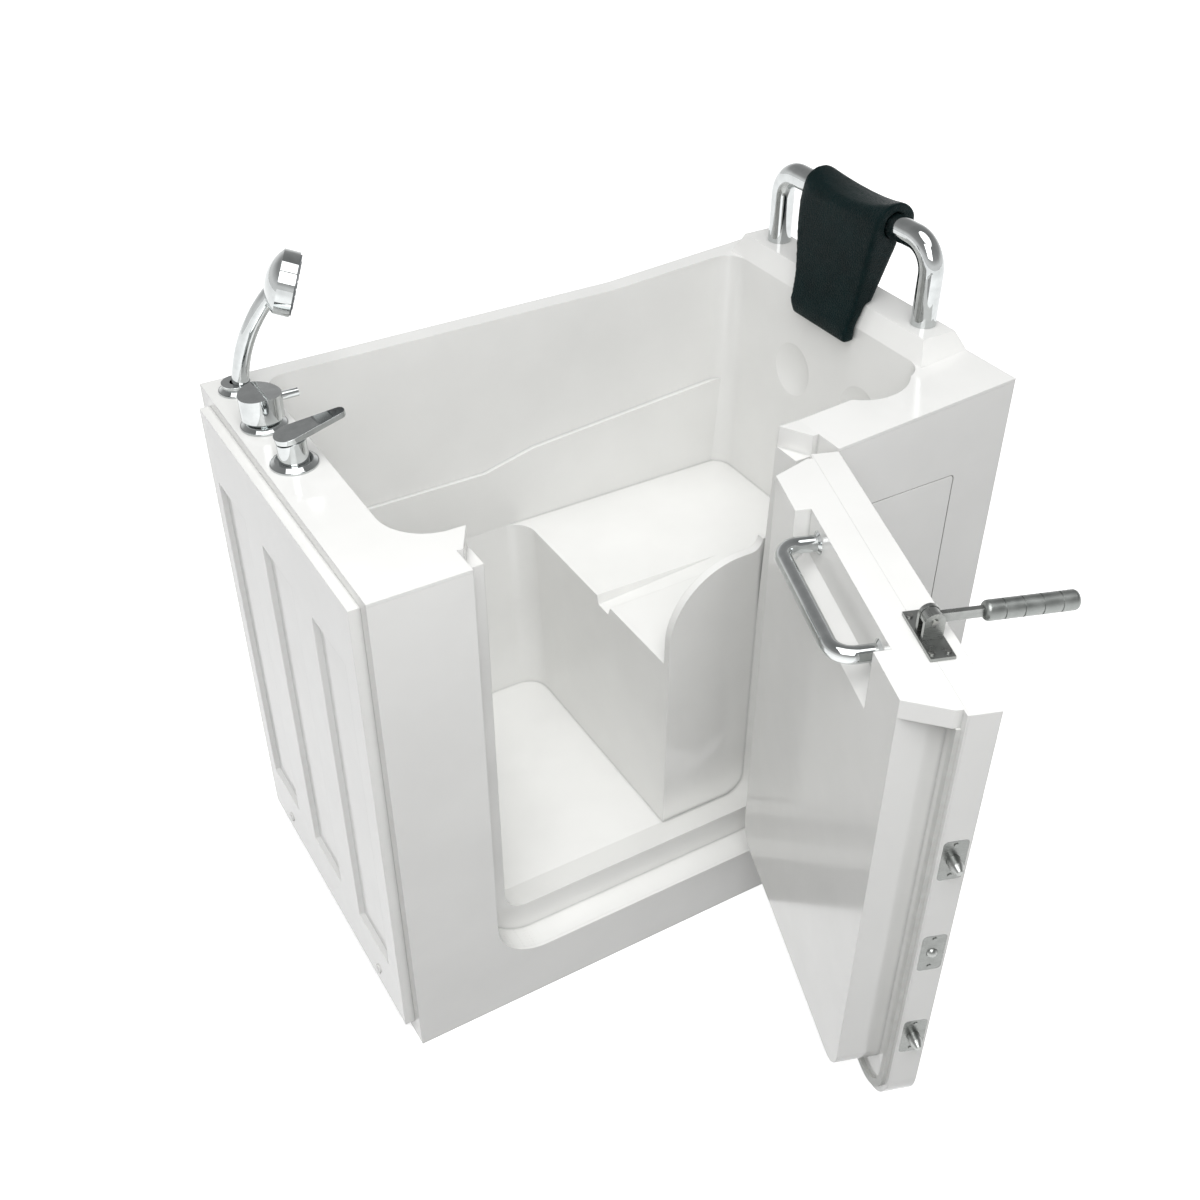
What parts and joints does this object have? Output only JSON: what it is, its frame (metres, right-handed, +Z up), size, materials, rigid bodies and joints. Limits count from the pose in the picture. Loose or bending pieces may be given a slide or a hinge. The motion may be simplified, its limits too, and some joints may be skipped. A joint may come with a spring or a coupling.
{
  "type": "walk-in bathtub",
  "caption": "Walk-in bathtub with an outward side door, moulded seat, backrest rail with headrest, deck taps and hand shower.",
  "frame": {"origin": "centre of the tub's own footprint on the floor, without the end panel, at floor level", "axes": "+X from the tap end to the seat end, +Y from the door face to the back rim, +Z up"},
  "size_m": [1.163, 1.296, 1.1966],
  "materials": {
    "gelcoat": "gloss",
    "chrome": "polished",
    "steel_frame": "satin",
    "zinc_fasteners": "satin",
    "seal": "matt",
    "vinyl": "soft grain",
    "dark_metal": "satin",
    "white_cap": "satin",
    "pipe_plastic": "matt",
    "copper": "satin",
    "foot_rubber": "matt",
    "spray_face": "satin"
  },
  "bodies": {
    "tub": {"tub_shell": "gelcoat", "front_apron": "gelcoat", "seat_end_apron": "gelcoat", "rear_corner": "gelcoat", "strike_plates": "chrome", "strike_screws": "chrome", "base_rails": "steel_frame", "cross_bearers": "steel_frame", "seat_frame": "steel_frame", "rim_frame": "steel_frame", "foot_nuts": "zinc_fasteners", "drain_body": "chrome", "waste_tailpiece": "pipe_plastic", "overflow_plate": "chrome", "overflow_pipe": "pipe_plastic", "fill_outlet": "chrome", "mixer_flange": "chrome", "diverter_flange": "chrome", "shower_flange": "chrome", "deck_valves": "zinc_fasteners", "supply_pipes": "copper", "backrest_rail": "chrome", "rail_nuts": "zinc_fasteners", "hinge_leaves_jamb": "zinc_fasteners", "hinge_pins": "zinc_fasteners"},
    "front_hatch": {"access_panel": "gelcoat"},
    "end_panel": {"end_access_panel": "gelcoat", "end_panel_caps": "white_cap"},
    "foot_a": {"foot_tap_front": "foot_rubber"},
    "foot_b": {"foot_tap_rear": "foot_rubber"},
    "foot_c": {"foot_seat_front": "foot_rubber"},
    "foot_d": {"foot_seat_rear": "foot_rubber"},
    "foot_e": {"foot_middle": "foot_rubber"},
    "plug": {"drain_plug": "chrome"},
    "overflow_turn": {"overflow_knob": "chrome"},
    "mixer": {"mixer_body": "chrome"},
    "mixer_handle": {"mixer_lever": "chrome"},
    "diverter": {"diverter_knob": "chrome"},
    "shower_holder": {"shower_collar": "chrome"},
    "hand_shower": {"hand_shower_body": "chrome", "hand_shower_face": "spray_face"},
    "headrest": {"headrest_pad": "vinyl"},
    "door": {"hinge_leaves_door": "zinc_fasteners", "door_outer_panel": "gelcoat", "door_inner_panel": "gelcoat", "door_gasket": "seal", "door_grab_bar": "chrome", "door_bar_bolts": "zinc_fasteners", "latch_faceplates": "chrome", "latch_screws": "chrome", "latch_cases": "zinc_fasteners", "lever_bracket": "dark_metal", "bracket_screws": "zinc_fasteners", "lever_pivot_pin": "zinc_fasteners"},
    "bolt_high": {"upper_bolt": "chrome"},
    "bolt_low": {"lower_bolt": "chrome"},
    "catch": {"middle_catch": "chrome"},
    "rod": {"latch_rod": "zinc_fasteners"},
    "lever": {"latch_lever": "dark_metal", "lever_grip": "dark_metal"}
  },
  "joints": [
    {"name": "door_swing", "type": "hinge", "parent": "tub", "child": "door", "pos_m": [0.211, -0.35, 0.56], "axis": [0, 0, 1], "range_deg": [-70.7, 39.3]},
    {"name": "lever_lift", "type": "hinge", "parent": "door", "child": "lever", "pos_m": [0.02593, -0.77258, 0.988], "axis": [-0.3305, -0.9438, 0], "range_deg": [0, 90]},
    {"name": "upper_bolt_slide", "type": "slide", "parent": "door", "child": "bolt_high", "axis": [0.3305, 0.9438, 0], "range_m": [0, 0.024]},
    {"name": "lower_bolt_slide", "type": "slide", "parent": "door", "child": "bolt_low", "axis": [0.3305, 0.9438, 0], "range_m": [0, 0.024]},
    {"name": "rod_lift", "type": "slide", "parent": "door", "child": "rod", "axis": [0, 0, 1], "range_m": [0, 0.012]},
    {"name": "catch_press", "type": "slide", "parent": "door", "child": "catch", "axis": [0.3305, 0.9438, 0], "range_m": [0, 0.005], "stiffness_N_per_m": 400},
    {"name": "mixer_turn", "type": "hinge", "parent": "tub", "child": "mixer", "pos_m": [-0.525, 0.034, 0.97], "axis": [0, 0, 1], "range_deg": [-50, 50]},
    {"name": "mixer_tilt", "type": "hinge", "parent": "mixer", "child": "mixer_handle", "pos_m": [-0.525, 0.034, 0.9945], "axis": [0, -1, 0], "range_deg": [-12, 8]},
    {"name": "diverter_turn", "type": "hinge", "parent": "tub", "child": "diverter", "pos_m": [-0.525, 0.167, 0.97], "axis": [0, 0, 1], "range_deg": [-90, 90]},
    {"name": "shower_turn", "type": "hinge", "parent": "tub", "child": "shower_holder", "pos_m": [-0.525, 0.298, 0.97], "axis": [0, 0, 1], "range_deg": [-60, 60]},
    {"name": "shower_lift_off", "type": "slide", "parent": "shower_holder", "child": "hand_shower", "axis": [0.2725, -0.1311, 0.9532], "range_m": [0, 0.06]},
    {"name": "headrest_slide", "type": "slide", "parent": "tub", "child": "headrest", "axis": [0, 1, 0], "range_m": [-0.03, 0.03]},
    {"name": "overflow_knob_turn", "type": "hinge", "parent": "tub", "child": "overflow_turn", "pos_m": [-0.4745, -0.06, 0.8], "axis": [1, 0, 0], "range_deg": [0, 90]},
    {"name": "plug_lift", "type": "slide", "parent": "tub", "child": "plug", "axis": [0, 0, 1], "range_m": [0, 0.009]},
    {"name": "foot_a_screw", "type": "slide", "parent": "tub", "child": "foot_a", "axis": [0, 0, 1], "range_m": [0, 0.012]},
    {"name": "foot_b_screw", "type": "slide", "parent": "tub", "child": "foot_b", "axis": [0, 0, 1], "range_m": [0, 0.012]},
    {"name": "foot_c_screw", "type": "slide", "parent": "tub", "child": "foot_c", "axis": [0, 0, 1], "range_m": [0, 0.012]},
    {"name": "foot_d_screw", "type": "slide", "parent": "tub", "child": "foot_d", "axis": [0, 0, 1], "range_m": [0, 0.012]},
    {"name": "foot_e_screw", "type": "slide", "parent": "tub", "child": "foot_e", "axis": [0, 0, 1], "range_m": [0, 0.012]},
    {"name": "front_hatch_off", "type": "slide", "parent": "tub", "child": "front_hatch", "axis": [0, -1, 0], "range_m": [0, 0.06]},
    {"name": "end_panel_off", "type": "slide", "parent": "tub", "child": "end_panel", "axis": [-1, 0, 0], "range_m": [0, 0.06]}
  ],
  "couplings": [
    {"joint": "upper_bolt_slide", "follows": "lever_lift", "m_per_rad": 0.01527},
    {"joint": "lower_bolt_slide", "follows": "lever_lift", "m_per_rad": 0.01527},
    {"joint": "rod_lift", "follows": "lever_lift", "m_per_rad": 0.00763},
    {"joint": "plug_lift", "follows": "overflow_knob_turn", "m_per_rad": 0.00572}
  ]
}
